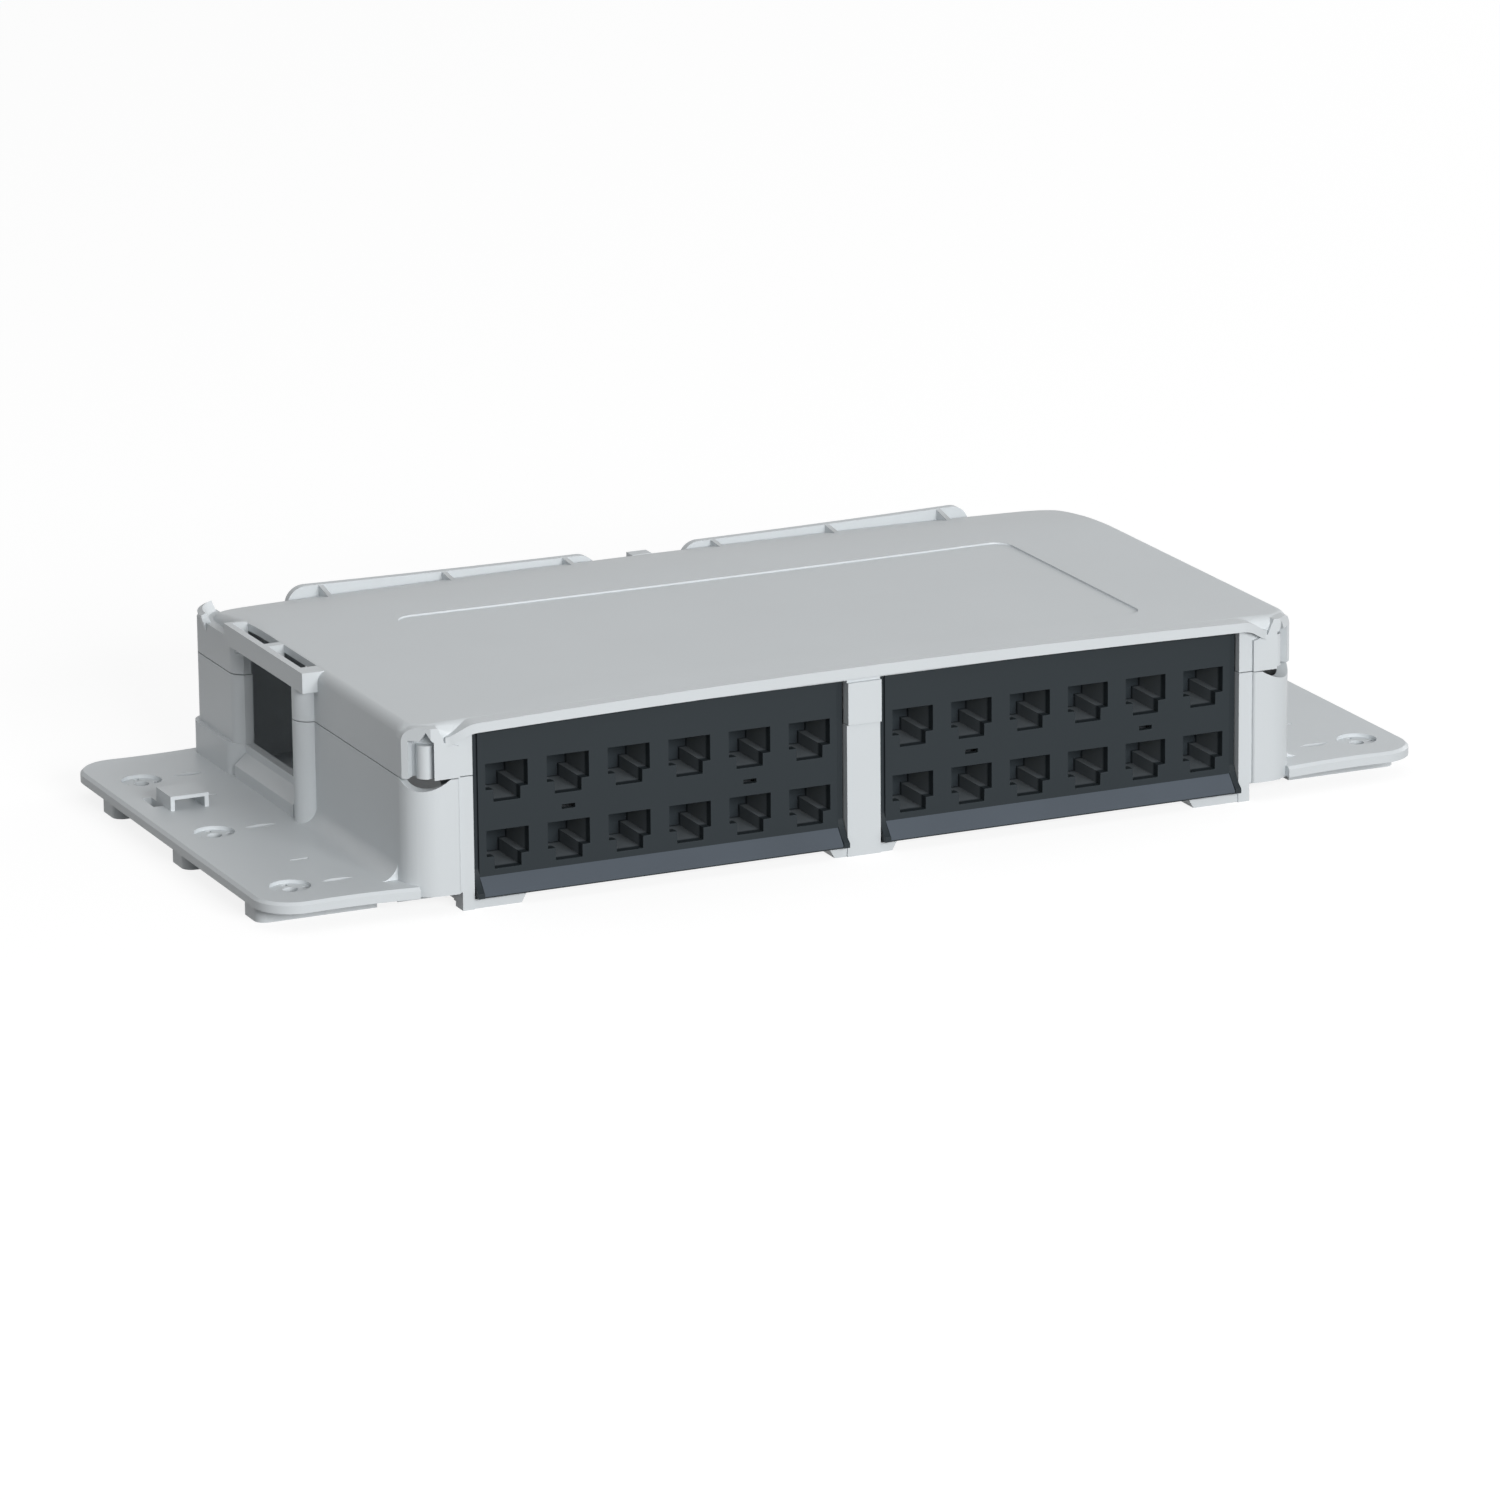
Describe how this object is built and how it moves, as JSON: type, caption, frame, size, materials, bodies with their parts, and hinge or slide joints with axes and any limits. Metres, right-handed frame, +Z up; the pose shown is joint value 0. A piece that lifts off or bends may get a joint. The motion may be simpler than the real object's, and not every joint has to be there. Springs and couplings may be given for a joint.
{
  "type": "ethernet distribution box",
  "caption": "Low grey plastic box with rows of dark RJ45 outlets along its front, screw flanges at both ends, cable entries and a crowned cover that lifts off.",
  "frame": {"origin": "middle of the bounding box, on the plane the feet rest on", "axes": "+X to the right along the row of outlets, +Y from the outlets to the rear, +Z up through the cover"},
  "size_m": [0.3416, 0.158, 0.0528],
  "materials": {
    "housing": "fine-textured light grey moulding",
    "cover": "fine-textured light grey moulding",
    "outlet_block": "satin dark grey moulding",
    "label_strip": "glossy smoke-blue strip",
    "socket_body": "satin black moulding",
    "wire_cap": "plain light moulding",
    "contact": "gold-plated spring wire"
  },
  "bodies": {
    "housing": {"base_housing": "housing", "port_block_left": "outlet_block", "label_strip_left": "label_strip", "contacts_left": "contact", "jack_left_01": "socket_body", "wire_cap_left_01": "wire_cap", "jack_left_02": "socket_body", "wire_cap_left_02": "wire_cap", "jack_left_03": "socket_body", "wire_cap_left_03": "wire_cap", "jack_left_04": "socket_body", "wire_cap_left_04": "wire_cap", "jack_left_05": "socket_body", "wire_cap_left_05": "wire_cap", "jack_left_06": "socket_body", "wire_cap_left_06": "wire_cap", "jack_left_07": "socket_body", "wire_cap_left_07": "wire_cap", "jack_left_08": "socket_body", "wire_cap_left_08": "wire_cap", "jack_left_09": "socket_body", "wire_cap_left_09": "wire_cap", "jack_left_10": "socket_body", "wire_cap_left_10": "wire_cap", "jack_left_11": "socket_body", "wire_cap_left_11": "wire_cap", "jack_left_12": "socket_body", "wire_cap_left_12": "wire_cap", "port_block_right": "outlet_block", "label_strip_right": "label_strip", "contacts_right": "contact", "jack_right_01": "socket_body", "wire_cap_right_01": "wire_cap", "jack_right_02": "socket_body", "wire_cap_right_02": "wire_cap", "jack_right_03": "socket_body", "wire_cap_right_03": "wire_cap", "jack_right_04": "socket_body", "wire_cap_right_04": "wire_cap", "jack_right_05": "socket_body", "wire_cap_right_05": "wire_cap", "jack_right_06": "socket_body", "wire_cap_right_06": "wire_cap", "jack_right_07": "socket_body", "wire_cap_right_07": "wire_cap", "jack_right_08": "socket_body", "wire_cap_right_08": "wire_cap", "jack_right_09": "socket_body", "wire_cap_right_09": "wire_cap", "jack_right_10": "socket_body", "wire_cap_right_10": "wire_cap", "jack_right_11": "socket_body", "wire_cap_right_11": "wire_cap", "jack_right_12": "socket_body", "wire_cap_right_12": "wire_cap"},
    "cover": {"top_cover": "cover"}
  },
  "joints": [
    {"name": "cover_lift", "type": "slide", "parent": "housing", "child": "cover", "axis": [0, 0, 1], "range_m": [0, 0.06]}
  ]
}
